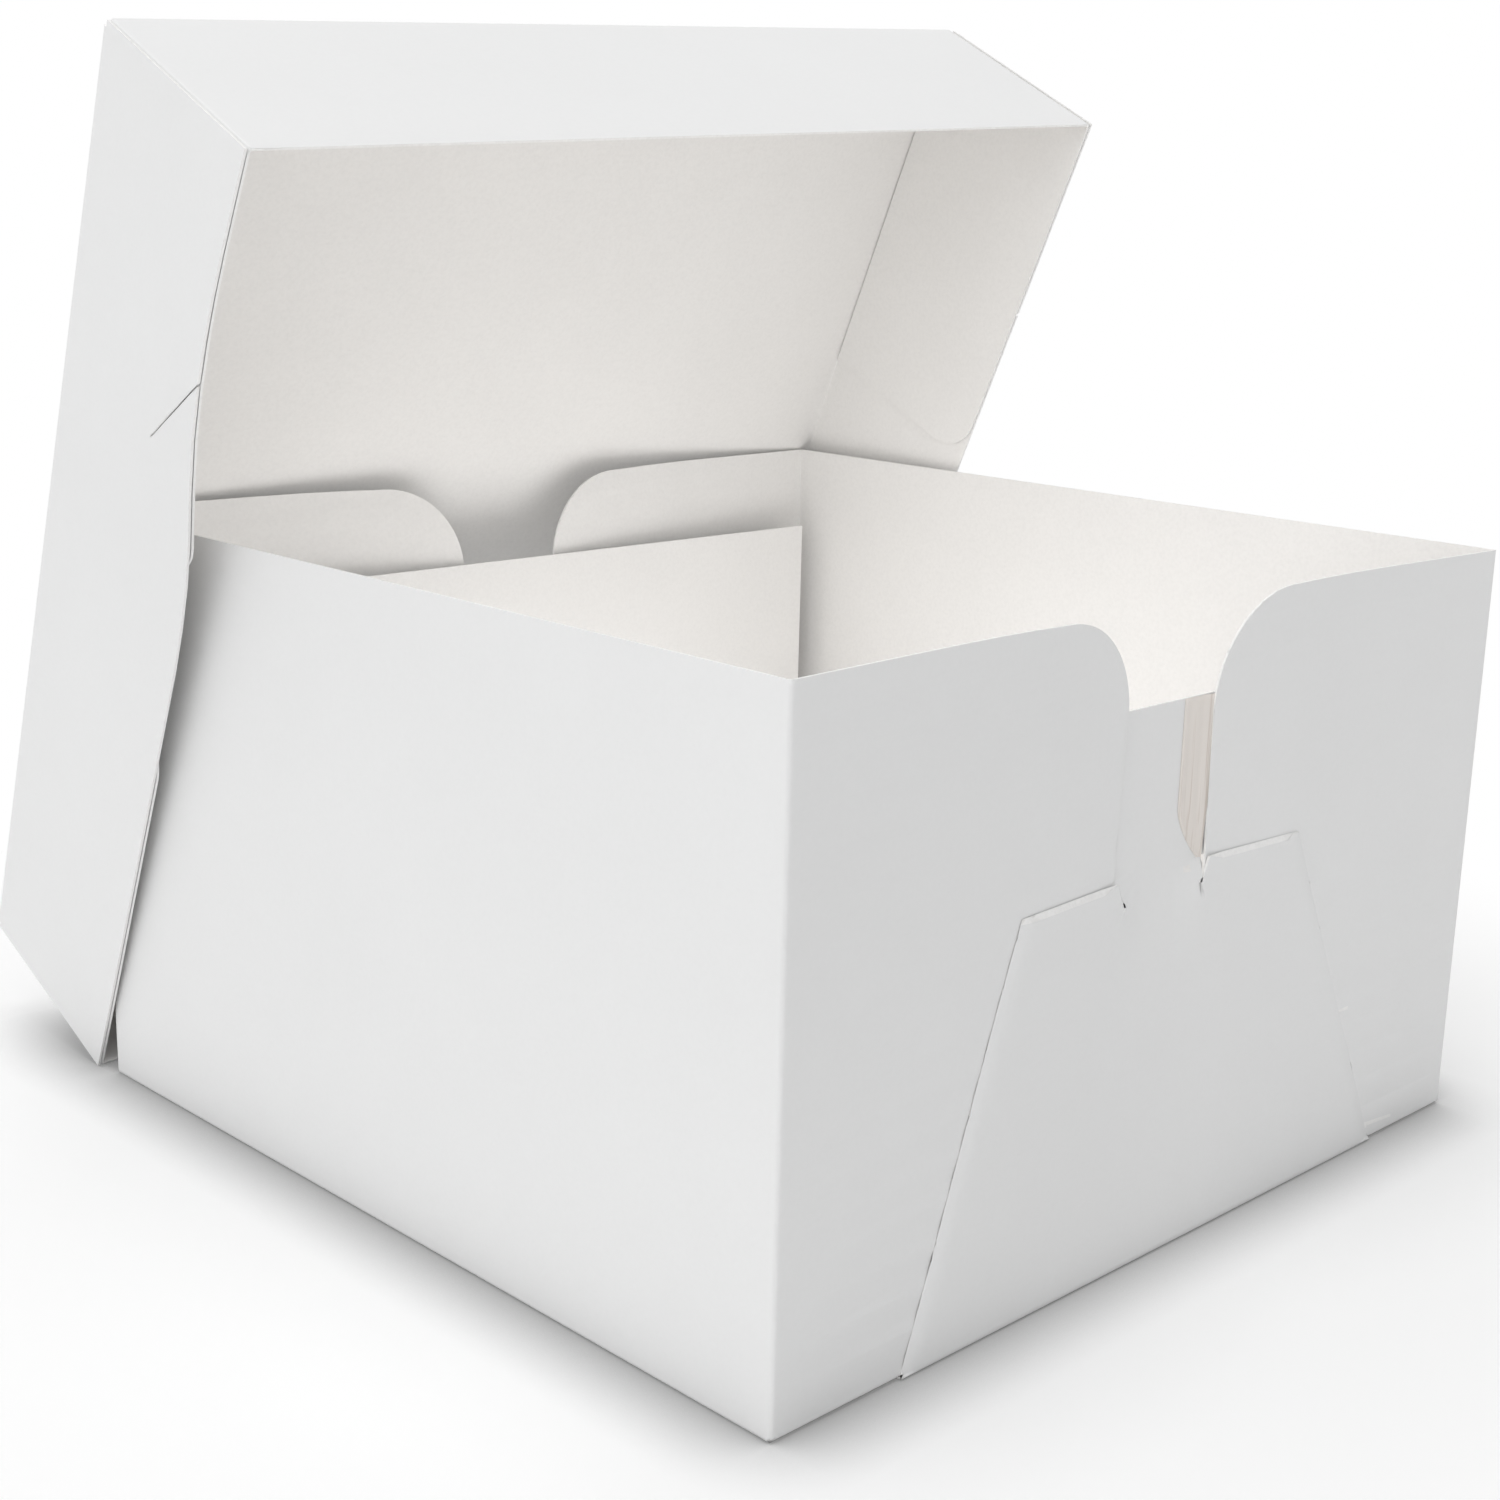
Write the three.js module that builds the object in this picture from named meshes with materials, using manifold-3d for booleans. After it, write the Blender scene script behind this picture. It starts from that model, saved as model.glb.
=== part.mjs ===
// Two-piece cake box of folded white card: a square base tray, and a shallow lid that leans on its back.
// Millimetres, Z up. The origin is the centre of the underside of the base.
// X runs along the front wall, Y from the front wall to the back wall.
import * as THREE from "three";
import { mergeVertices } from "three/addons/utils/BufferGeometryUtils.js";
import Module from "manifold-3d";

const wasm = await Module();
wasm.setup();

// Card, creases and clearances
const board = 0.6;
const skin = board / 2; // from a face of the card to its middle line
const gap = 0.3; // air between neighbouring sheets
const foldRadius = 1; // outside radius of a crease
const foldSteps = 4; // facets round a crease
const lap = 4; // how far two joined parts of one sheet run over each other
const past = 1; // how far a cutter runs past the card
const arcSteps = 20; // facets round a cut corner
const weld = 1e-4; // corners closer than this are one
const straight = 1e-6; // a smaller turn is no crease
const roughness = 0.62;

// Base
const baseColour = 0xf1f1ef;
const baseWidth = 254;
const baseHeight = 152;
const wingTurn = THREE.MathUtils.degToRad(4); // most that the wings are pushed in from square
const pushHeight = 103; // where they are pushed in most; at the floor they stand square
const wingGapTop = 31; // between the wings of one end, at the rim
const wingGapSlit = 34.5; // the same, where the neck goes through
const wingCornerRadius = 26;
const wingLevels = 18; // steps in the height of a curved wing
const slitHeight = 90; // top edge of the outer tongue of an end panel
const tongueFoot = 180; // width of the outer tongue at the floor
const tongueTop = 104; // width of the outer tongue at the slits
const hookDepth = 4.5; // short cuts down beside the neck
const cutWidth = 0.8;
const tongueRound = 15; // the tongue rounds the angle between the wings with this reach
const dentHeight = 24; // the neck starts to sink in this far below the slits
const dentFlat = 4; // half width of the flat of that dent
const tongueLevels = 16; // steps in its height
const tongueColumns = 24; // steps in its width
const platePart = 0.845; // height of the inner plate, as a share of the wall
const plateSetback = 8; // inner plate short of the side walls

// Lid
const lidColour = 0xf3f3f1;
const lidPlay = 11; // inside of the lid over the outside of the base
const lidDepth = 61;
const lidWingLength = 111;
const lidWingRound = 12;
const lidSlitStart = 60; // from the top corner, along the rim
const lidSlitRun = 20; // along the wall
const lidSlitDepth = 18; // away from the rim
const reliefSize = 1.6; // punched relief where three panels of the lid meet
const posePasses = 40; // rounds in which the lean of the lid settles

// Sizes that follow from these
const half = baseWidth / 2;
const wallBack = half - board - gap; // outside of the wings, behind the end panels
const wingLength = half - wingGapTop / 2;
const footRise = foldRadius + board; // a wall goes on from its crease at this height
const plateIn = board + gap + wingLength * Math.sin(wingTurn) + board + gap;
const neckHalf = wingGapSlit / 2 - cutWidth;
const plateHalf = half - plateSetback;
const plateTop = baseHeight * platePart;
const lidShell = board + gap + board; // side wall with the wing inside it
const lidWidth = baseWidth + lidPlay + lidShell * 2;
const lidHalf = lidWidth / 2;
const lidWingFace = lidHalf - board - gap; // outside of a lid wing

const v = (x, y) => new THREE.Vector2(x, y);
const leftOf = (direction) => v(-direction.y, direction.x);

// Edge-on outline of a sheet whose middle line follows the corners, each crease rounded
function sheetPoints(corners) {
  const radius = foldRadius - skin;
  const stations = [];
  corners.forEach((corner, index) => {
    const before = corners[index - 1];
    const after = corners[index + 1];
    const arriving = (before ? corner.clone().sub(before) : after.clone().sub(corner)).normalize();
    const leaving = (after ? after.clone().sub(corner) : arriving.clone()).normalize();
    const turn = Math.atan2(arriving.cross(leaving), arriving.dot(leaving));
    if (Math.abs(turn) < straight) {
      stations.push({ point: corner, direction: arriving });
      return;
    }
    const side = Math.sign(turn);
    const start = corner.clone().addScaledVector(arriving, -radius * Math.tan(Math.abs(turn) / 2));
    const centre = start.addScaledVector(leftOf(arriving), side * radius);
    for (let step = 0; step <= foldSteps; step += 1) {
      const direction = arriving.clone().rotateAround(v(0, 0), (turn * step) / foldSteps);
      const point = centre.clone().addScaledVector(leftOf(direction), -side * radius);
      stations.push({ point, direction });
    }
  });
  const face = (offset) =>
    stations.map(({ point, direction }) => point.clone().addScaledVector(leftOf(direction), offset));
  const outline = [...face(skin), ...face(-skin).reverse()];
  return THREE.ShapeUtils.isClockWise(outline) ? outline.reverse() : outline;
}

const sheetOutline = (corners) => new THREE.Shape(sheetPoints(corners));

// Axes that the outline's own x, y and depth turn into
const axis = { x: v3(1, 0, 0), y: v3(0, 1, 0), z: v3(0, 0, 1) };
const planes = {
  xy: new THREE.Matrix4().makeBasis(axis.x, axis.y, axis.z),
  xz: new THREE.Matrix4().makeBasis(axis.x, axis.z, axis.y.clone().negate()),
  yz: new THREE.Matrix4().makeBasis(axis.y, axis.z, axis.x),
};

function v3(x, y, z) {
  return new THREE.Vector3(x, y, z);
}

// Solid from a closed outline in one plane, running from one level to another along the third axis
function block(shape, plane, from, to) {
  const geometry = new THREE.ExtrudeGeometry(shape, {
    depth: to - from,
    bevelEnabled: false,
    curveSegments: arcSteps,
  });
  geometry.translate(0, 0, plane === "xz" ? -to : from);
  geometry.applyMatrix4(planes[plane]);
  return solid(geometry);
}

// Levels from one to another in equal steps
const evenly = (from, to, steps) =>
  Array.from({ length: steps + 1 }, (_, index) => THREE.MathUtils.lerp(from, to, index / steps));

// Solid through the outlines at rising levels, all with the same number of corners
function loft(levels, outlineAt) {
  const outlines = levels.map(outlineAt);
  const places = outlines.flatMap((outline, index) => outline.map(({ x, y }) => [x, y, levels[index]]));
  const count = outlines[0].length;
  const last = count * (levels.length - 1);
  const triangles = [];
  for (let start = 0; start < last; start += count) {
    for (let index = 0; index < count; index += 1) {
      const here = start + index;
      const next = start + ((index + 1) % count);
      triangles.push(here, next, next + count, here, next + count, here + count);
    }
  }
  const underside = THREE.ShapeUtils.triangulateShape(outlines.at(0), []);
  underside.forEach(([a, b, c]) => triangles.push(c, b, a));
  const topside = THREE.ShapeUtils.triangulateShape(outlines.at(-1), []);
  topside.forEach(([a, b, c]) => triangles.push(a + last, b + last, c + last));
  const geometry = new THREE.BufferGeometry();
  geometry.setAttribute("position", new THREE.Float32BufferAttribute(places.flat(), 3));
  geometry.setIndex(triangles);
  return solid(geometry);
}

// Closed solid from a geometry's triangles
function solid(geometry) {
  geometry.deleteAttribute("normal");
  geometry.deleteAttribute("uv");
  const merged = mergeVertices(geometry, weld);
  return new wasm.Manifold(
    new wasm.Mesh({
      numProp: 3,
      vertProperties: new Float32Array(merged.attributes.position.array),
      triVerts: new Uint32Array(merged.index.array),
    }),
  );
}

const polygon = (...corners) => new THREE.Shape(corners.map(([x, y]) => v(x, y)));
const join = (parts) => parts.reduce((whole, part) => whole.add(part));
const turned = (part) => part.rotate([0, 0, 180]);

// Floor of the base, with the creases that its side walls rise from
function baseFloor() {
  const side = half - skin;
  const outline = sheetOutline([v(-side, footRise), v(-side, skin), v(side, skin), v(side, footRise)]);
  const reach = wallBack - foldRadius;
  return block(outline, "xz", -reach, reach);
}

// How far the end walls are pushed in at a height, as a slope from their upright creases
function pushAt(height) {
  const below = (pushHeight - Math.max(height, footRise)) / (pushHeight - footRise);
  return Math.tan(wingTurn) * (1 - below ** 2);
}

// Left wall of the base and the two wings folded from its upright edges
function baseSide() {
  const wall = -half + skin;
  const end = wallBack - skin;
  const levels = [foldRadius, ...evenly(footRise, baseHeight, wingLevels)];
  const sheet = loft(levels, (height) => {
    const turn = Math.atan(pushAt(height));
    const tip = wall + wingLength * Math.cos(turn);
    const tipIn = end - wingLength * Math.sin(turn);
    return sheetPoints([v(tip, -tipIn), v(wall, -end), v(wall, end), v(tip, tipIn)]);
  });
  return sheet.intersect(block(wingShape(), "xz", -half, half));
}

// Front view of the left wings: rounded at the rim, drawn back towards the floor
function wingShape() {
  const edgeTop = -wingGapTop / 2;
  const taper = (wingGapSlit - wingGapTop) / 2 / (baseHeight - slitHeight);
  const edgeFoot = edgeTop - taper * baseHeight;
  const top = baseHeight + past;
  const turnX = edgeTop - wingCornerRadius;
  const turnZ = baseHeight - wingCornerRadius;
  const shape = new THREE.Shape();
  shape.moveTo(-half - past, 0);
  shape.lineTo(edgeFoot, 0);
  shape.lineTo(edgeTop - taper * wingCornerRadius, turnZ);
  shape.absarc(turnX, turnZ, wingCornerRadius - taper * wingCornerRadius, 0, Math.PI / 2, false);
  shape.lineTo(turnX, top);
  shape.lineTo(-half - past, top);
  return shape;
}

// Front panel of the base: a tongue outside the wings, a neck between them and a plate inside
function basePanel() {
  const foot = tongueFoot / 2;
  const top = tongueTop / 2;
  const slotHalf = neckHalf + cutWidth;
  const hookFoot = slitHeight - hookDepth;
  const neckTop = slitHeight + lap;
  const plateY = -half + plateIn;
  const fold = sheetOutline([v(-half + lap, skin), v(-half + skin, skin), v(-half + skin, footRise)]);
  const tongueView = polygon(
    [-foot, -past],
    [foot, -past],
    [foot, foldRadius],
    [top, slitHeight],
    [slotHalf, slitHeight],
    [slotHalf, hookFoot],
    [neckHalf, hookFoot],
    [neckHalf, neckTop],
    [-neckHalf, neckTop],
    [-neckHalf, hookFoot],
    [-slotHalf, hookFoot],
    [-slotHalf, slitHeight],
    [-top, slitHeight],
    [-foot, foldRadius],
  );
  const plateView = polygon(
    [-plateHalf, foldRadius],
    [-foot - cutWidth, foldRadius],
    [-top - cutWidth, slitHeight],
    [top + cutWidth, slitHeight],
    [foot + cutWidth, foldRadius],
    [plateHalf, foldRadius],
    [plateHalf, plateTop],
    [-plateHalf, plateTop],
  );
  return join([
    block(fold, "yz", -foot, foot),
    tongueSheet(foot, neckTop).intersect(block(tongueView, "xz", -half - past, 0)),
    block(plateView, "xz", plateY, plateY + board),
  ]);
}

// The tongue's curved sheet before it is cut to shape: it follows the wings, rounds the angle
// between them, and sinks at its middle to the level of the inner plate
function tongueSheet(reach, top) {
  const slotHalf = neckHalf + cutWidth;
  const edges = [-slotHalf, -neckHalf, neckHalf, slotHalf];
  const columns = [...evenly(-reach, reach, tongueColumns), ...edges].sort((a, b) => a - b);
  const hookFoot = slitHeight - hookDepth;
  const levels = [foldRadius, ...evenly(footRise, hookFoot, tongueLevels), slitHeight, top];
  const pushed = (x, height) => pushAt(height) * (half - Math.hypot(x, tongueRound));
  const faceAt = (x, height) => {
    const middle = Math.abs(x) <= neckHalf;
    const open = THREE.MathUtils.smoothstep(height, hookFoot, slitHeight);
    const flat = 1 - THREE.MathUtils.smoothstep(Math.abs(x), dentFlat, neckHalf);
    const sink = THREE.MathUtils.smoothstep(height, slitHeight - dentHeight, slitHeight);
    const share = middle ? sink * (flat + (1 - flat) * open) : 0;
    return -half + THREE.MathUtils.lerp(pushed(x, height), plateIn, share);
  };
  return loft(levels, (height) => {
    const outer = columns.map((x) => v(x, faceAt(x, height)));
    const inner = outer.map((place) => v(place.x, place.y + board));
    return [...outer, ...inner.reverse()];
  });
}

// Face of the lid with its two side walls, which are the outermost sheets
function lidFace() {
  const side = lidHalf - skin;
  const face = lidDepth - skin;
  const outline = sheetOutline([v(-side, 0), v(-side, face), v(side, face), v(side, 0)]);
  const sheet = block(outline, "xy", 0, lidWidth);
  const corner = (x, z) => {
    const room = polygon(
      [lidDepth - reliefSize, z - reliefSize],
      [lidDepth + past, z - reliefSize],
      [lidDepth + past, z + reliefSize],
      [lidDepth - reliefSize, z + reliefSize],
    );
    return block(room, "yz", x - reliefSize, x + reliefSize);
  };
  const edge = (z) => {
    const strip = polygon(
      [-lidHalf + reliefSize, z - foldRadius],
      [lidHalf - reliefSize, z - foldRadius],
      [lidHalf - reliefSize, z + foldRadius],
      [-lidHalf + reliefSize, z + foldRadius],
    );
    return block(strip, "xz", lidDepth - board - past, lidDepth + past);
  };
  const cutters = [
    edge(0),
    edge(lidWidth),
    corner(-lidHalf, 0),
    corner(lidHalf, 0),
    corner(-lidHalf, lidWidth),
    corner(lidHalf, lidWidth),
    lidSlit(-lidHalf),
    lidSlit(lidHalf),
  ];
  return sheet.subtract(join(cutters));
}

// Slanted cut in a side wall of the lid, open at the rim
function lidSlit(x) {
  const start = lidWidth - lidSlitStart;
  const end = start - lidSlitRun;
  const cut = polygon(
    [-past, start + cutWidth],
    [lidSlitDepth, end + cutWidth],
    [lidSlitDepth, end],
    [-past, start],
  );
  return block(cut, "yz", x - board - gap / 2, x + board + gap / 2);
}

// Top wall of the lid, its crease to the face, and the wings that run down inside the side walls
function lidEnd() {
  const level = lidWidth - skin;
  const face = lidDepth - skin;
  const wing = lidWingFace - skin;
  const wingEnd = lidWidth - lidWingLength;
  const wall = sheetOutline([v(0, level), v(face, level), v(face, level - lap)]);
  const wings = sheetOutline([v(-wing, wingEnd), v(-wing, level), v(wing, level), v(wing, wingEnd)]);
  const reach = lidWingFace - foldRadius;
  const wingView = new THREE.Shape();
  wingView.moveTo(-past, lidWidth + past);
  wingView.lineTo(-past, wingEnd + lidWingRound);
  wingView.lineTo(0, wingEnd + lidWingRound);
  wingView.absarc(lidWingRound, wingEnd + lidWingRound, lidWingRound, Math.PI, Math.PI * 1.5, false);
  wingView.lineTo(lidDepth, wingEnd);
  wingView.lineTo(lidDepth, lidWidth + past);
  return join([
    block(wall, "yz", -reach, reach),
    block(wings, "xz", 0, lidDepth - foldRadius).intersect(block(wingView, "yz", -lidHalf, lidHalf)),
  ]);
}

// Where the lid comes to rest: one corner on the ground, its face on the back rim of the base,
// turned in its own plane until its side walls meet the sides of the base
function lidPose() {
  const reach = lidDepth - board - gap;
  let lean = Math.asin(reach / baseHeight);
  let skew = 0;
  let back = gap;
  for (let pass = 0; pass < posePasses; pass += 1) {
    const room = lidPlay - gap * 2 + baseWidth * (1 - Math.cos(skew));
    skew = Math.asin((room * Math.cos(lean)) / baseHeight);
    back = gap + (baseWidth + lidShell + gap) * Math.tan(skew) * Math.sin(lean);
    lean = Math.asin((reach + back * Math.cos(lean)) / baseHeight);
  }
  const up = v3(0, -Math.sin(lean), Math.cos(lean));
  const along = axis.x.clone().multiplyScalar(Math.cos(skew)).addScaledVector(up, Math.sin(skew));
  const rise = axis.x.clone().multiplyScalar(-Math.sin(skew)).addScaledVector(up, Math.cos(skew));
  const inward = v3(0, Math.cos(lean), Math.sin(lean));
  const left = -half - (lidShell + gap - back * Math.sin(lean) * Math.sin(skew)) / Math.cos(skew);
  const corner = v3(left, wallBack + back, 0);
  const origin = corner.addScaledVector(along, lidHalf);
  return new THREE.Matrix4().makeBasis(along, inward, rise).setPosition(origin);
}

// Named mesh with its own material
function piece(name, whole, colour) {
  const mesh = whole.getMesh();
  const geometry = new THREE.BufferGeometry();
  geometry.setAttribute("position", new THREE.BufferAttribute(mesh.vertProperties, 3));
  geometry.setIndex(new THREE.BufferAttribute(mesh.triVerts, 1));
  const flat = geometry.toNonIndexed();
  flat.computeVertexNormals();
  const material = new THREE.MeshStandardMaterial({ color: colour, roughness, metalness: 0 });
  const made = new THREE.Mesh(flat, material);
  made.name = name;
  return made;
}

const baseSheet = join([
  baseFloor(),
  baseSide(),
  turned(baseSide()),
  basePanel(),
  turned(basePanel()),
]);

const lidTop = lidEnd();
const lidBottom = lidTop.mirror([0, 0, 1]).translate([0, 0, lidWidth]);
const lidSheet = join([lidFace(), lidTop, lidBottom]);

const cakeBox = new THREE.Group();
cakeBox.name = "cake_box";
cakeBox.add(piece("base_tray", baseSheet, baseColour));
cakeBox.add(piece("lid", lidSheet.transform(lidPose().elements), lidColour));

export default cakeBox;
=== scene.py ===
from math import asin, cos, hypot, pi, radians, sin, tan

import bmesh
import bpy
from mathutils import Matrix, Vector
from mathutils.bvhtree import BVHTree


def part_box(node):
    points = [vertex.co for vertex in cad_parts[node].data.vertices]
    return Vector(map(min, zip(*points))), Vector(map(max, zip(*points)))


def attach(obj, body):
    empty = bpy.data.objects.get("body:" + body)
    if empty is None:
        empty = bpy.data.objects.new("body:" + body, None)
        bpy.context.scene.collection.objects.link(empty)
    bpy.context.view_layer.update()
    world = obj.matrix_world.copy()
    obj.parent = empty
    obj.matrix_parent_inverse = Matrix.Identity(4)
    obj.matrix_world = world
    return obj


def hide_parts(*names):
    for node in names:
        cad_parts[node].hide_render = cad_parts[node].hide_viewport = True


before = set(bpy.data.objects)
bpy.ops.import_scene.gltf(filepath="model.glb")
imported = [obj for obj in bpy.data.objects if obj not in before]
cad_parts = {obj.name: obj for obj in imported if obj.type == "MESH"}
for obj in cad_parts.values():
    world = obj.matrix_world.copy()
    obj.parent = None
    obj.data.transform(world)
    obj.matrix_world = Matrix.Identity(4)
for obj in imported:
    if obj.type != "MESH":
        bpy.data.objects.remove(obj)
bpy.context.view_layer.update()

# A cake box of folded white card: an open square tray, and a shallow lid leaning on its back.
# Metres, Z up. X runs along the front wall, Y from the front wall to the back wall.

# The card, and the base's outside as the CAD gives it
BOARD = 0.0006
FOLD_RADIUS = 0.001
AIR = 0.0003
BASE_HALF, _, BASE_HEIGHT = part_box("base_tray")[1]

# Camera, fitted to the photograph
CAMERA_PLACE = Vector((-0.4014, -0.4006, 0.2368))
CAMERA_HEADING = radians(-46.27)
CAMERA_PITCH = radians(-14.83)
CAMERA_ROLL = radians(1.88)
CAMERA_SENSOR = 36.0
CAMERA_LENS = 53.9
CAMERA_SHIFT = (-0.058, 0.020)
CAMERA_NEAR = 0.01


def add_object(name, data):
    made = bpy.data.objects.new(name, data)
    bpy.context.scene.collection.objects.link(made)
    return made


def add_camera():
    data = bpy.data.cameras.new("camera")
    data.sensor_width = CAMERA_SENSOR
    data.lens = CAMERA_LENS
    data.shift_x, data.shift_y = CAMERA_SHIFT
    data.clip_start = CAMERA_NEAR
    camera = add_object("camera", data)
    turn = (
        Matrix.Rotation(CAMERA_HEADING, 4, "Z")
        @ Matrix.Rotation(pi / 2 + CAMERA_PITCH, 4, "X")
        @ Matrix.Rotation(CAMERA_ROLL, 4, "Z")
    )
    camera.matrix_world = Matrix.Translation(CAMERA_PLACE) @ turn
    bpy.context.scene.camera = camera


# Small helpers for node trees
def node(tree, kind, **values):
    """A node. Each value is set on the input of that name, or else on the node itself."""
    made = tree.nodes.new(kind)
    for name, value in values.items():
        if name in made.inputs:
            made.inputs[name].default_value = value
        else:
            setattr(made, name, value)
    return made


def new_material(name):
    material = bpy.data.materials.new(name)
    material.use_nodes = True
    tree = material.node_tree
    tree.nodes.clear()
    return material, tree


def finish_material(tree, surface):
    output = node(tree, "ShaderNodeOutputMaterial")
    tree.links.new(surface, output.inputs["Surface"])


def noise(tree, place, scale, detail, **values):
    made = node(tree, "ShaderNodeTexNoise", Scale=scale, Detail=detail, **values)
    tree.links.new(place, made.inputs["Vector"])
    return made.outputs["Fac"]


def ranged(tree, value, low, high, to_low=0.0, to_high=1.0, **values):
    """The value moved from one range to another, and held inside it."""
    made = node(tree, "ShaderNodeMapRange", **values)
    made.inputs["From Min"].default_value = low
    made.inputs["From Max"].default_value = high
    made.inputs["To Min"].default_value = to_low
    made.inputs["To Max"].default_value = to_high
    tree.links.new(value, made.inputs["Value"])
    return made.outputs["Result"]


def mixed(tree, first, second, share):
    """A colour between two, by a share from 0 to 1."""
    made = node(tree, "ShaderNodeMix", data_type="RGBA")
    made.inputs["A"].default_value = (*first, 1)
    made.inputs["B"].default_value = (*second, 1)
    tree.links.new(share, made.inputs["Factor"])
    return made.outputs["Result"]


def bumped(tree, height, strength, distance):
    made = node(tree, "ShaderNodeBump", Strength=strength, Distance=distance)
    tree.links.new(height, made.inputs["Height"])
    return made.outputs["Normal"]


def joined(tree, operation, first, second):
    """A sum, product or largest value of two outputs."""
    made = node(tree, "ShaderNodeMath", operation=operation)
    tree.links.new(first, made.inputs[0])
    tree.links.new(second, made.inputs[1])
    return made.outputs["Value"]


def seen_rays(tree):
    """1 for rays from the camera, also after a glossy or a clear surface, and else 0."""
    rays = node(tree, "ShaderNodeLightPath").outputs
    direct = joined(tree, "MAXIMUM", rays["Is Camera Ray"], rays["Is Glossy Ray"])
    return joined(tree, "MAXIMUM", direct, rays["Is Transmission Ray"])


# Card. Scales are in waves per metre, and depths in metres
BLOTCH_SCALE = 28.0
BLOTCH_RANGE = (0.3, 0.7)
FIBRE_SCALE = 900.0
FIBRE_ROUGHNESS = 0.65
FIBRE_RANGE = (0.25, 0.6)
GRAIN_SCALE = 260.0
GRAIN_DEPTH = 0.00008
ROUGHNESS_SPREAD = 0.06
COAT_ROUGHNESS = 0.4
OUTSIDE_WHITE = (0.85, 0.852, 0.851)
INSIDE_WHITE = (0.89, 0.877, 0.86)
EDGE_WHITE = (0.97, 0.965, 0.955)


def card(name, colour, roughness, fibre, grain, mottle, coat=0.0):
    """Card: soft blotches and fine fibre in the colour, and grain in the surface."""
    material, tree = new_material(name)
    link = tree.links.new
    place = node(tree, "ShaderNodeTexCoord").outputs["Object"]
    blotch = noise(tree, place, BLOTCH_SCALE, 3.0)
    fibres = noise(tree, place, FIBRE_SCALE, 4.0, Roughness=FIBRE_ROUGHNESS)
    coarse = noise(tree, place, GRAIN_SCALE, 3.0)
    darker = tuple(channel * (1 - mottle) for channel in colour)
    tone = mixed(tree, darker, colour, ranged(tree, blotch, *BLOTCH_RANGE))
    speck = node(tree, "ShaderNodeMix", data_type="RGBA", blend_type="MULTIPLY")
    speck.inputs["Factor"].default_value = 1.0
    link(tone, speck.inputs["A"])
    link(ranged(tree, fibres, *FIBRE_RANGE, to_low=1 - fibre), speck.inputs["B"])
    smoothest = roughness - ROUGHNESS_SPREAD
    roughest = roughness + ROUGHNESS_SPREAD
    height = joined(tree, "ADD", fibres, coarse)
    surface = node(tree, "ShaderNodeBsdfPrincipled")
    surface.inputs["Coat Weight"].default_value = coat
    surface.inputs["Coat Roughness"].default_value = COAT_ROUGHNESS
    link(speck.outputs["Result"], surface.inputs["Base Color"])
    link(ranged(tree, coarse, 0.0, 1.0, smoothest, roughest), surface.inputs["Roughness"])
    link(bumped(tree, height, grain, GRAIN_DEPTH), surface.inputs["Normal"])
    finish_material(tree, surface.outputs["BSDF"])
    return material


# Bare board for the neck's curl: warm, its tone darkened as painted shade of the fold, with darker
# lines of painted crease shade that run up it
BARE_SHADED_COLOUR = (0.84, 0.79, 0.745)
CREASE_SHADE_COLOUR = (0.66, 0.58, 0.52)
BARE_SCALES = (900.0, 900.0, 22.0)
CREASE_SHADE_RANGE = (0.56, 0.74)
BARE_BUMP = 0.4
BARE_DEPTH = 0.0001
BARE_ROUGHNESS = 0.8


def bare_shaded_card():
    """Bare board: warm, darkened as painted shade of the fold, with darker lines of painted crease
    shade.
    """
    material, tree = new_material("bare_curl_painted_shade")
    link = tree.links.new
    stretch = node(tree, "ShaderNodeMapping", Scale=BARE_SCALES)
    link(node(tree, "ShaderNodeTexCoord").outputs["Object"], stretch.inputs["Vector"])
    lines = noise(tree, stretch.outputs["Vector"], 1.0, 2.0)
    # Painted shade: the warm bare tone darkened for the fold, mixed with darker lines of painted
    # crease shade
    tone = mixed(tree, BARE_SHADED_COLOUR, CREASE_SHADE_COLOUR, ranged(tree, lines, *CREASE_SHADE_RANGE))
    surface = node(tree, "ShaderNodeBsdfPrincipled", Roughness=BARE_ROUGHNESS)
    link(tone, surface.inputs["Base Color"])
    link(bumped(tree, lines, BARE_BUMP, BARE_DEPTH), surface.inputs["Normal"])
    finish_material(tree, surface.outputs["BSDF"])
    return material


# Sheets: the CAD solids, cut into small cells, bowed, and given a face, a back and a raw edge
CELL = 0.012
CREASE_HOLD = FOLD_RADIUS * 1.6
MERGE = 2e-6
ON_PLANE = 1e-7
SHORTEST_EDGE = 1e-6
SHARP_FROM = radians(38)
NORMAL_WEIGHT = 100
RAY_START = BOARD * 0.02
THIN_REACH = BOARD * 1.5
EDGE_WIDTH = BOARD * 1.2
FACE_MATERIAL, BACK_MATERIAL, RAW_MATERIAL = range(3)


def cells(low, high):
    """Cutting places from low to high, with one close to each end to hold the crease sharp."""
    run = high - low - 2 * CREASE_HOLD
    count = max(2, round(run / CELL))
    return [low + CREASE_HOLD + run / count * index for index in range(count + 1)]


def cut(shape, cuts, slants):
    """Cut a mesh at places along X, Y and Z, and along slanted planes."""
    planes = list(slants)
    for axis, places in enumerate(cuts):
        normal = Vector([1.0 if index == axis else 0.0 for index in range(3)])
        planes += [(normal * place, normal) for place in places]
    for place, normal in planes:
        parts = shape.verts[:] + shape.edges[:] + shape.faces[:]
        bmesh.ops.bisect_plane(shape, geom=parts, dist=ON_PLANE, plane_co=place, plane_no=normal)
    bmesh.ops.dissolve_degenerate(shape, edges=shape.edges, dist=SHORTEST_EDGE)
    shape.normal_update()


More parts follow.
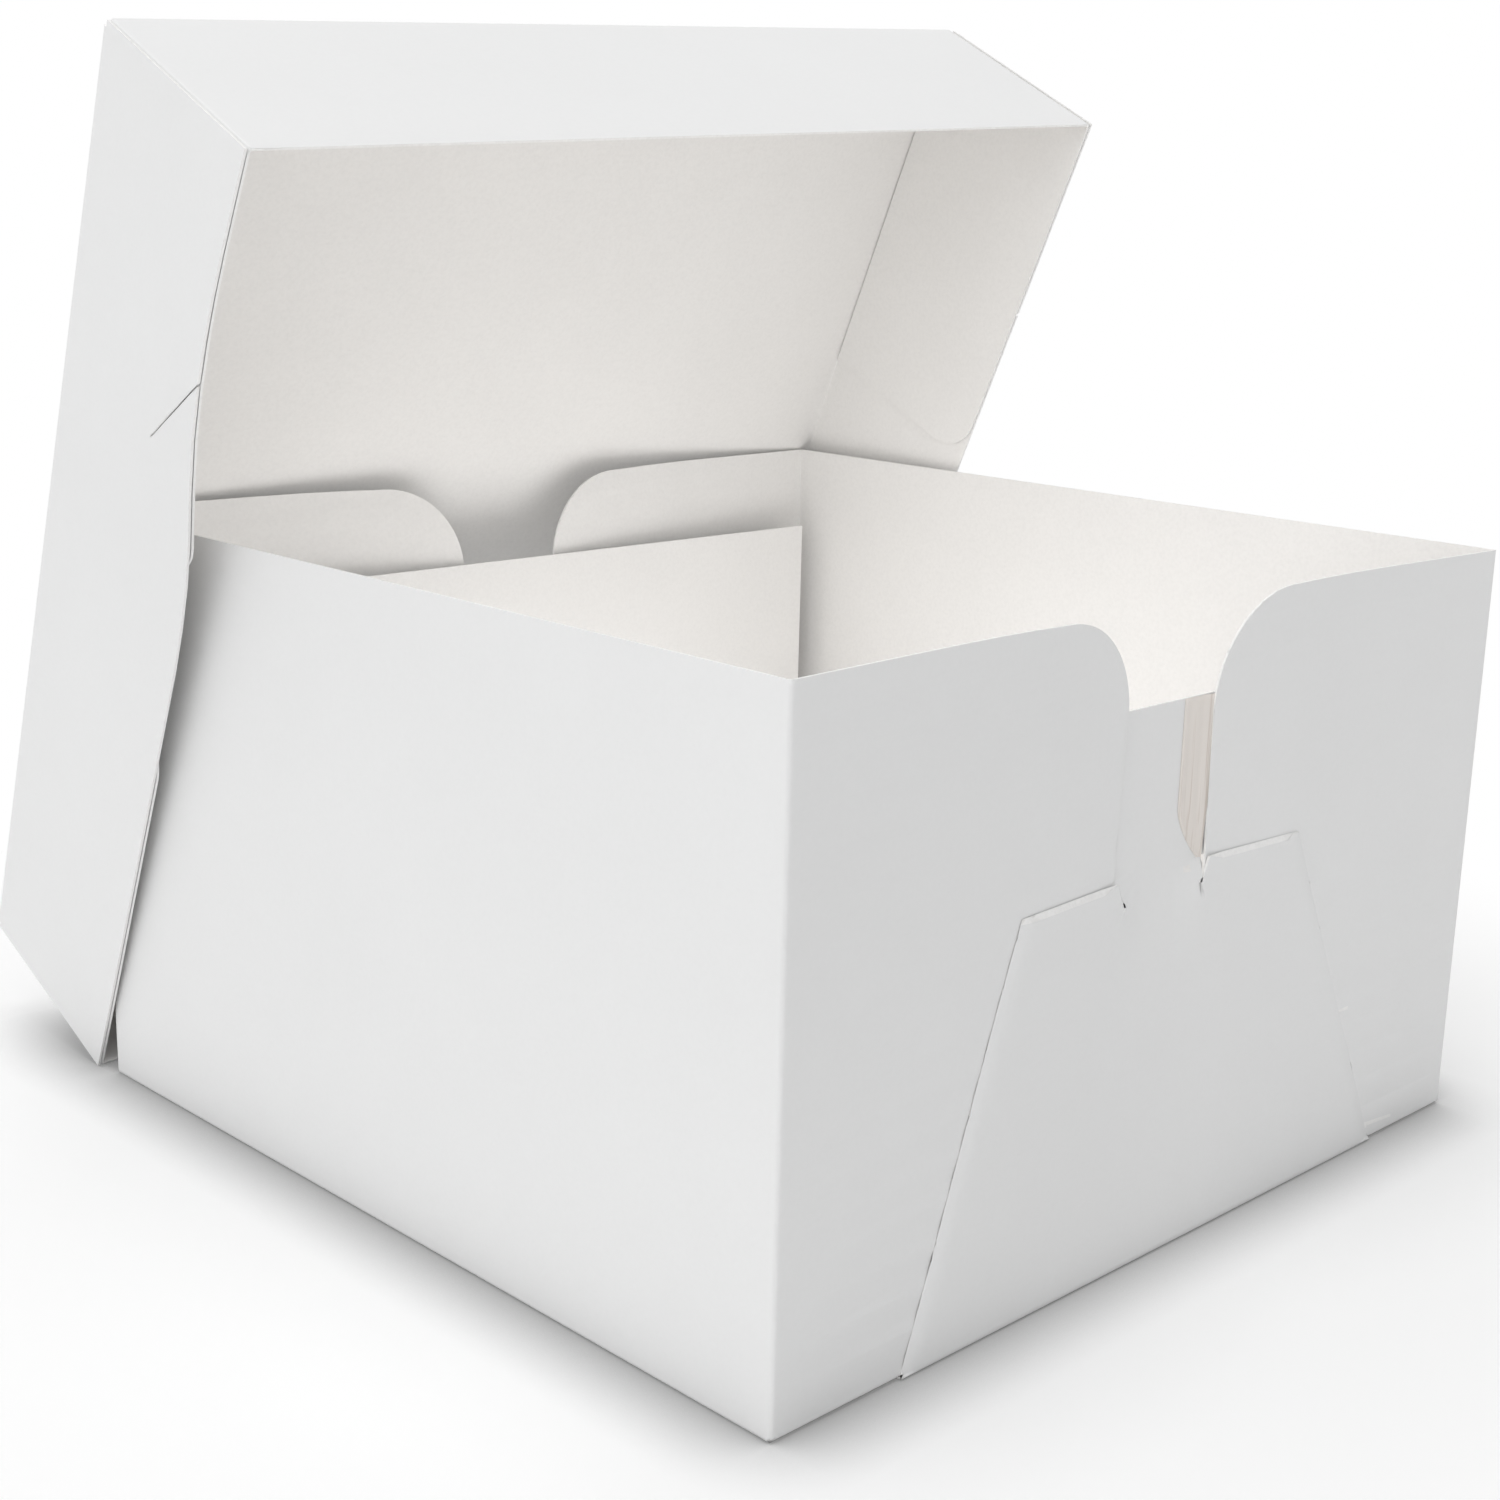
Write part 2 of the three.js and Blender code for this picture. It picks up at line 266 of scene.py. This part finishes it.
def mark_sides(shape, is_face):
    """Tell the face of the card, its back and its raw edges apart."""
    tree = BVHTree.FromBMesh(shape)
    for face in shape.faces:
        middle = face.calc_center_median()
        start = middle - face.normal * RAY_START
        thin = tree.ray_cast(start, -face.normal, THIN_REACH)[0] is not None
        width = face.calc_area() / max(edge.calc_length() for edge in face.edges)
        if not thin and width < EDGE_WIDTH:
            face.material_index = RAW_MATERIAL
        else:
            outward = is_face(middle, face.normal)
            face.material_index = FACE_MATERIAL if outward else BACK_MATERIAL


def sheet_object(name, cad_node, to_local, cuts, slants, bow, is_face):
    """A finer copy of a CAD node. cuts, slants, bow and is_face work in the sheet's own frame."""
    shape = bmesh.new()
    shape.from_mesh(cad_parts[cad_node].data)
    bmesh.ops.remove_doubles(shape, verts=shape.verts, dist=MERGE)
    bmesh.ops.transform(shape, matrix=to_local, verts=shape.verts)
    cut(shape, cuts, slants)
    mark_sides(shape, is_face)
    for vertex in shape.verts:
        vertex.co += bow(vertex.co)
    bmesh.ops.transform(shape, matrix=to_local.inverted(), verts=shape.verts)
    mesh = bpy.data.meshes.new(name)
    shape.to_mesh(mesh)
    shape.free()
    mesh.shade_smooth()
    mesh.set_sharp_from_angle(angle=SHARP_FROM)
    made = add_object(name, mesh)
    weighted = made.modifiers.new("weighted", "WEIGHTED_NORMAL")
    weighted.keep_sharp = True
    weighted.weight = NORMAL_WEIGHT
    return made


def finish_sheet(made, materials, cad_node):
    for material in materials:
        made.data.materials.append(material)
    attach(made, "root")
    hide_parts(cad_node)


def smooth(share):
    """Soft step from 0 to 1."""
    held = min(1.0, max(0.0, share))
    return held * held * (3 - 2 * held)


# Base tray, as in the CAD: TONGUE_FOOT and TONGUE_TOP are half widths
END_DEPTH = 0.012
SLIT_HEIGHT = 0.090
TONGUE_FOOT = 0.090
TONGUE_TOP = 0.052
TONGUE_ROUND = 0.015
WING_TURN = radians(4)
PUSH_HEIGHT = 0.103
# How far from a line or a level a corner of the mesh may be to count as on it
NEAR = 1e-4
EDGE_SLACK = 2e-4
# How deep a corner may lie to be on a tongue's outer side, or on the tongue at all
OUTER_SKIN = BOARD * 0.5
TONGUE_SKIN = BOARD * 1.3
# The sides of a tongue pressed onto the wings, and its cut edge crushed
PRESS_WIDTH = 0.005
PRESS_DEPTH = 0.00082
PRESS_STEPS = 4
INNER_PRESS = 0.35
CRUSH = 0.0012
TOUCH = 0.00027
# The step where a wing's round corner meets its rim
RIM_START = 0.0415
RIM_FALL = 0.036
RIM_DROP = 0.00073
# The inner end of a slit, where it hooks down
HOOK_DEPTH = 0.0045
HOOK_SIDE = 0.0160
HOOK_REACH = 0.0180
HOOK_LEAN = 0.0024
HOOK_DROP = 0.0012


def base_face(middle, normal):
    if abs(middle.x) > BASE_HALF - FOLD_RADIUS:
        return normal.x * middle.x > 0
    if abs(middle.y) > BASE_HALF - END_DEPTH:
        return normal.y * middle.y > 0
    return normal.z < 0


def tongue_edge(height):
    """Half width of an outer tongue at a height."""
    share = (height - FOLD_RADIUS) / (SLIT_HEIGHT - FOLD_RADIUS)
    return TONGUE_FOOT + (TONGUE_TOP - TONGUE_FOOT) * share


def push_in(place):
    """How far an end wall is pushed in from square."""
    foot = FOLD_RADIUS + BOARD
    below = (PUSH_HEIGHT - max(place.z, foot)) / (PUSH_HEIGHT - foot)
    return tan(WING_TURN) * (1 - below**2) * (BASE_HALF - hypot(place.x, TONGUE_ROUND))


def rim_bow(from_middle):
    """The step at a wing's round corner, drawn out along the rim."""
    share = 1 - max(0.0, from_middle - RIM_START) / RIM_FALL
    return Vector((0, 0, -RIM_DROP * share**2))


def side_bow(place, from_edge, outer):
    """The side of a tongue, pressed in, with its cut edge crushed."""
    press = max(0.0, 1 - max(0.0, from_edge) / PRESS_WIDTH) ** 2
    sunk = PRESS_DEPTH * press * (1.0 if outer else INNER_PRESS)
    drop = 0.0
    if place.z > SLIT_HEIGHT - NEAR:
        if outer:
            drop = CRUSH
        else:
            sunk = max(sunk, TOUCH)
    return Vector((0, -sunk if place.y > 0 else sunk, -drop))


def hook_bow(place):
    """The hooked end of a slit, slanted to the middle and down."""
    share = (SLIT_HEIGHT - place.z) / HOOK_DEPTH
    lean = HOOK_LEAN * share
    return Vector((-lean if place.x > 0 else lean, 0, -HOOK_DROP * share))


def base_bow(place):
    """Tongues pressed flat at their sides, with crushed cut edges and hooked slits."""
    from_middle = abs(place.x)
    on_rim = place.z > BASE_HEIGHT - NEAR
    if on_rim and RIM_START - NEAR < from_middle < RIM_START + RIM_FALL:
        return rim_bow(from_middle)
    depth = BASE_HALF - abs(place.y) - push_in(place)
    from_edge = tongue_edge(place.z) - from_middle
    in_height = FOLD_RADIUS < place.z < SLIT_HEIGHT + NEAR
    if depth < TONGUE_SKIN and in_height and from_edge >= -EDGE_SLACK:
        if from_middle > HOOK_REACH:
            return side_bow(place, from_edge, depth < OUTER_SKIN)
        if HOOK_SIDE < from_middle < HOOK_REACH and place.z > SLIT_HEIGHT - HOOK_DEPTH - NEAR:
            return hook_bow(place)
    return Vector((0, 0, 0))


def add_base(materials):
    across = cells(-BASE_HALF, BASE_HALF)
    upward = cells(0, BASE_HEIGHT)
    slope = (TONGUE_FOOT - TONGUE_TOP) / (SLIT_HEIGHT - FOLD_RADIUS)
    slants = []
    for side in (-1, 1):
        for step in range(1, PRESS_STEPS + 1):
            inward = PRESS_WIDTH * step / PRESS_STEPS
            place = Vector((side * (TONGUE_FOOT - inward), 0, FOLD_RADIUS))
            slants.append((place, Vector((side, 0, slope)).normalized()))
    made = sheet_object(
        "base_sheet", "base_tray", Matrix.Identity(4),
        (across, across, upward), slants, base_bow, base_face,
    )
    finish_sheet(made, materials, "base_tray")


# The bare edge of the neck, curled out beside the right front wing; its colour holds painted shade
# of the fold
SLIVER_ROWS = 28
SLIVER_COLUMNS = 10
SLIVER_LOW = 0.0880
SLIVER_HIGH = 0.1284
SLIVER_TAPER = 0.0150
SLIVER_ROUND = 1.6
SLIVER_WIDTH = 0.0105
SLIVER_RIGHT = 0.0168
SLIVER_FACE = -0.11752
SLIVER_CURL = 0.0009
SLIVER_RIPPLE = 0.00012
RIPPLE_TURN = 17
SLIVER_BOARD = 0.0001


def sliver_line(shape, row):
    """One row of corners across the sliver, which opens upward and curls out at its right."""
    height = SLIVER_LOW + (SLIVER_HIGH - SLIVER_LOW) * row / SLIVER_ROWS
    opened = min(1.0, (height - SLIVER_LOW) / SLIVER_TAPER)
    width = SLIVER_WIDTH * (1 - (1 - opened) ** SLIVER_ROUND)
    line = []
    for column in range(SLIVER_COLUMNS + 1):
        share = column / SLIVER_COLUMNS
        ripple = SLIVER_RIPPLE * sin(share * RIPPLE_TURN)
        curl = (SLIVER_CURL * share**2 + ripple) * opened
        x = SLIVER_RIGHT - width * (1 - share)
        line.append(shape.verts.new((x, SLIVER_FACE - curl, height)))
    return line


def add_sliver(material):
    shape = bmesh.new()
    grid = [sliver_line(shape, row) for row in range(SLIVER_ROWS + 1)]
    for low, high in zip(grid, grid[1:]):
        for index in range(SLIVER_COLUMNS):
            shape.faces.new((low[index], low[index + 1], high[index + 1], high[index]))
    bmesh.ops.remove_doubles(shape, verts=shape.verts, dist=SHORTEST_EDGE)
    mesh = bpy.data.meshes.new("neck_curl")
    shape.to_mesh(mesh)
    shape.free()
    mesh.shade_smooth()
    made = add_object("neck_curl", mesh)
    thick = made.modifiers.new("thickness", "SOLIDIFY")
    thick.thickness = SLIVER_BOARD
    thick.offset = 0
    mesh.materials.append(material)
    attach(made, "root")


# Lid, as in the CAD
LID_PLAY = 0.011
LID_DEPTH = 0.061
LID_SHELL = 2 * BOARD + AIR
LID_WIDTH = BASE_HALF * 2 + LID_PLAY + LID_SHELL * 2
POSE_STEPS = 40
# The left wall's rim: pressed in up to PRESS_TOP, then less and less, and bowed out from BOW_FOOT
LEFT_WALL = -LID_WIDTH / 2 + LID_SHELL * 1.5
LID_BOW = 0.0024
LID_PRESS = 0.0040
PRESS_TOP = 0.13
PRESS_FADE = 0.04
BOW_FOOT = 0.165
# The slit in a side wall, from the top corner down the rim, and how far its rim end is raised
SLIT_START = 0.06
SLIT_RUN = 0.02
SLIT_DEPTH = 0.018
SLIT_SPREAD = 0.05
SLIT_LIFT = 0.0055


def lid_frame():
    """The part's frame to the lid's own: X across, Y from the rim to the face, Z up the face."""
    reach = LID_DEPTH - BOARD - AIR
    width = BASE_HALF * 2
    lean = asin(reach / BASE_HEIGHT)
    skew = 0.0
    back = AIR
    for _ in range(POSE_STEPS):
        room = LID_PLAY - AIR * 2 + width * (1 - cos(skew))
        skew = asin(room * cos(lean) / BASE_HEIGHT)
        back = AIR + (width + LID_SHELL + AIR) * tan(skew) * sin(lean)
        lean = asin((reach + back * cos(lean)) / BASE_HEIGHT)
    up = Vector((0, -sin(lean), cos(lean)))
    side = Vector((1, 0, 0))
    along = side * cos(skew) + up * sin(skew)
    rise = side * -sin(skew) + up * cos(skew)
    inward = Vector((0, cos(lean), sin(lean)))
    left = -BASE_HALF - (LID_SHELL + AIR - back * sin(lean) * sin(skew)) / cos(skew)
    corner = Vector((left, BASE_HALF - BOARD - AIR + back, 0))
    origin = corner + along * (LID_WIDTH / 2)
    turn = Matrix((along, inward, rise)).transposed().to_4x4()
    return (Matrix.Translation(origin) @ turn).inverted()


def lid_face(middle, normal):
    centre = Vector((0, 0, LID_WIDTH / 2))
    return normal.dot(middle - centre) > 0


def lid_bow(place):
    """The left wall's rim leans on the base below and stands out a little above it."""
    if place.x > LEFT_WALL:
        return Vector((0, 0, 0))
    rim = 1 - place.y / LID_DEPTH
    free = smooth((place.z - PRESS_TOP) / (BOW_FOOT + PRESS_FADE - PRESS_TOP))
    press = LID_PRESS * place.z / BASE_HEIGHT * (1 - free)
    above = max(0.0, (place.z - BOW_FOOT) / (LID_WIDTH - BOW_FOOT))
    slit = LID_WIDTH - SLIT_START - SLIT_RUN * place.y / SLIT_DEPTH
    near = smooth(1 - abs(place.z - slit) / SLIT_SPREAD)
    lift = SLIT_LIFT * max(0.0, 1 - place.y / SLIT_DEPTH) * near
    return Vector(((press - LID_BOW * sin(pi * above)) * rim, 0, lift))


def add_lid(materials):
    half = LID_WIDTH / 2
    cuts = (cells(-half, half), cells(0, LID_DEPTH), cells(0, LID_WIDTH))
    made = sheet_object("lid_sheet", "lid", lid_frame(), cuts, (), lid_bow, lid_face)
    finish_sheet(made, materials, "lid")


# Floor: plain and pale, white further out, and darker where the box stands close to it
FLOOR_SIZE = 8.0
FADE_START = 0.16
FADE_END = 0.34
FLOOR_COLOUR = (0.9, 0.9, 0.9)
FLOOR_LIFT = 0.1
SHADOW_REACH = 0.022
SHADOW_COLOUR = (0.34, 0.34, 0.34)
SHADOW_FULL = 0.45


def floor_card(tree, seen):
    """The floor near the box: diffuse, with a painted contact shadow that darkens its colour by
    occlusion, and a little lift.
    """
    near = node(tree, "ShaderNodeAmbientOcclusion", Distance=SHADOW_REACH)
    open_share = ranged(tree, near.outputs["AO"], SHADOW_FULL, 1.0)
    surface = node(tree, "ShaderNodeBsdfDiffuse")
    tree.links.new(mixed(tree, SHADOW_COLOUR, FLOOR_COLOUR, open_share), surface.inputs["Color"])
    lift = node(tree, "ShaderNodeMath", operation="MULTIPLY")
    lift.inputs[1].default_value = FLOOR_LIFT
    tree.links.new(seen, lift.inputs[0])
    glow = node(tree, "ShaderNodeEmission")
    tree.links.new(lift.outputs["Value"], glow.inputs["Strength"])
    lifted = node(tree, "ShaderNodeAddShader")
    tree.links.new(surface.outputs["BSDF"], lifted.inputs[0])
    tree.links.new(glow.outputs["Emission"], lifted.inputs[1])
    return lifted.outputs["Shader"]


def add_floor():
    bpy.ops.mesh.primitive_plane_add(size=FLOOR_SIZE)
    floor = bpy.context.object
    floor.name = "floor"
    material, tree = new_material("floor")
    link = tree.links.new
    seen = seen_rays(tree)
    distance = node(tree, "ShaderNodeVectorMath", operation="LENGTH")
    link(node(tree, "ShaderNodeTexCoord").outputs["Object"], distance.inputs[0])
    fade = ranged(
        tree, distance.outputs["Value"], FADE_START, FADE_END, interpolation_type="SMOOTHSTEP"
    )
    white = node(tree, "ShaderNodeEmission", Strength=1.0)
    mix = node(tree, "ShaderNodeMixShader")
    link(joined(tree, "MULTIPLY", fade, seen), mix.inputs["Fac"])
    link(floor_card(tree, seen), mix.inputs[1])
    link(white.outputs["Emission"], mix.inputs[2])
    finish_material(tree, mix.outputs["Shader"])
    floor.data.materials.append(material)


# The world's light: the same from all sides, plus more from the left and from behind
WORLD_EVEN = 0.45
WORLD_LEFT = 0.6
WORLD_BEHIND = 0.25


def add_world():
    world = bpy.data.worlds.new("world")
    world.use_nodes = True
    tree = world.node_tree
    tree.nodes.clear()
    link = tree.links.new
    axes = node(tree, "ShaderNodeSeparateXYZ")
    link(node(tree, "ShaderNodeTexCoord").outputs["Generated"], axes.inputs[0])
    total = None
    for axis, sign, strength in (("X", -1.0, WORLD_LEFT), ("Y", 1.0, WORLD_BEHIND)):
        toward = node(tree, "ShaderNodeMath", operation="MULTIPLY", use_clamp=True)
        toward.inputs[1].default_value = sign
        link(axes.outputs[axis], toward.inputs[0])
        added = node(tree, "ShaderNodeMath", operation="MULTIPLY_ADD")
        added.inputs[1].default_value = strength
        added.inputs[2].default_value = WORLD_EVEN
        link(toward.outputs["Value"], added.inputs[0])
        if total:
            link(total, added.inputs[2])
        total = added.outputs["Value"]
    soft = node(tree, "ShaderNodeBackground", Color=(1, 1, 1, 1))
    link(total, soft.inputs["Strength"])
    white = node(tree, "ShaderNodeBackground", Color=(1, 1, 1, 1), Strength=1.0)
    mix = node(tree, "ShaderNodeMixShader")
    link(seen_rays(tree), mix.inputs["Fac"])
    link(soft.outputs["Background"], mix.inputs[1])
    link(white.outputs["Background"], mix.inputs[2])
    output = node(tree, "ShaderNodeOutputWorld")
    link(mix.outputs["Shader"], output.inputs["Surface"])
    bpy.context.scene.world = world


# Lamps: places and sizes in metres, power in watts
BOX_MIDDLE = (0.0, 0.0, 0.1)


def add_lamp(name, place, target, size, power, depth=None):
    """Round soft lamp, or a strip where a depth is given. The camera doesn't see it."""
    data = bpy.data.lights.new(name, "AREA")
    data.shape = "RECTANGLE" if depth else "DISK"
    data.size = size
    data.size_y = depth or size
    data.energy = power
    lamp = add_object(name, data)
    lamp.location = place
    lamp.rotation_euler = (Vector(target) - Vector(place)).to_track_quat("-Z", "Y").to_euler()
    lamp.visible_camera = False


def add_light():
    """Soft studio lamps from the left and above, a small one in the tray and one behind it."""
    add_lamp("key", (-1.8, -0.5, 1.5), BOX_MIDDLE, size=1.2, power=2)
    add_lamp("fill", (-1.2, -1.4, 1.6), BOX_MIDDLE, size=1.6, power=5)
    add_lamp("top", (0.0, 0.1, 2.2), BOX_MIDDLE, size=1.2, power=11)
    add_lamp("inside", (0.0, 0.0, 0.03), (0.0, 0.02, 0.3), size=0.2, power=0.15)
    add_lamp(
        "behind_base", (0.0, 0.139, 0.09), (0.0, 0.12, 0.2), size=0.2, power=0.012, depth=0.012
    )


def main():
    add_camera()
    outside = card(
        "coated_face", OUTSIDE_WHITE, roughness=0.46, fibre=0.015, grain=0.12, mottle=0.012, coat=0.1
    )
    inside = card("plain_back", INSIDE_WHITE, roughness=0.72, fibre=0.05, grain=0.3, mottle=0.02)
    edge = card("raw_edge", EDGE_WHITE, roughness=0.85, fibre=0.08, grain=0.6, mottle=0.03)
    materials = (outside, inside, edge)
    add_base(materials)
    add_sliver(bare_shaded_card())
    add_lid(materials)
    add_floor()
    add_world()
    add_light()
    bpy.context.scene.view_settings.view_transform = "Standard"


main()
